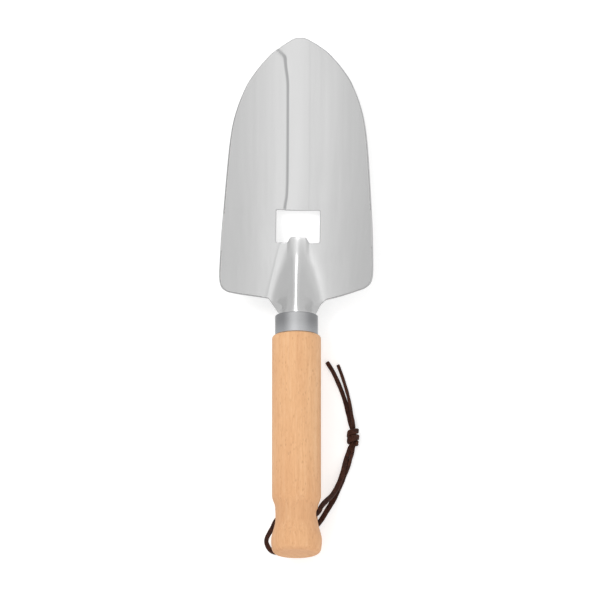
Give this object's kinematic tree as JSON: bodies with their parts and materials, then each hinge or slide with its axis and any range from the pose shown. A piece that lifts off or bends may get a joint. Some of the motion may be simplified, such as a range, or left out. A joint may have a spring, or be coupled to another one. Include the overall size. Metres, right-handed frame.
{
  "type": "hand trowel",
  "caption": "Hand trowel: pressed steel scoop with raised neck and square window, ferrule, turned wooden handle and a knotted leather hanging lace.",
  "frame": {"origin": "centre of the flat butt face of the handle, on the handle's axis", "axes": "+Y along the handle towards the blade's tip, +Z the hollow upper side of the blade, +X to the right when the tip points away"},
  "size_m": [0.0832, 0.2867, 0.0304],
  "materials": {
    "stainless_blade": "satin",
    "stainless_ferrule": "satin",
    "beech": "satin",
    "leather": "matte",
    "nail_steel": "satin"
  },
  "bodies": {
    "trowel": {"handle": "beech", "ferrule": "stainless_ferrule", "ferrule_nail": "nail_steel", "blade": "stainless_blade"},
    "lace_loop_body": {"lace_loop": "leather"},
    "lace_end_body": {"lace_knot_end": "leather"}
  },
  "joints": [
    {"name": "lace_swing", "type": "hinge", "parent": "trowel", "child": "lace_loop_body", "pos_m": [0, 0.02, 0], "axis": [1, 0, 0], "range_deg": [0, 45]},
    {"name": "lace_sweep", "type": "hinge", "parent": "lace_loop_body", "child": "lace_end_body", "pos_m": [0.0229, 0.044, -0.0153], "axis": [0, 0, 1], "range_deg": [-40, 5]}
  ]
}
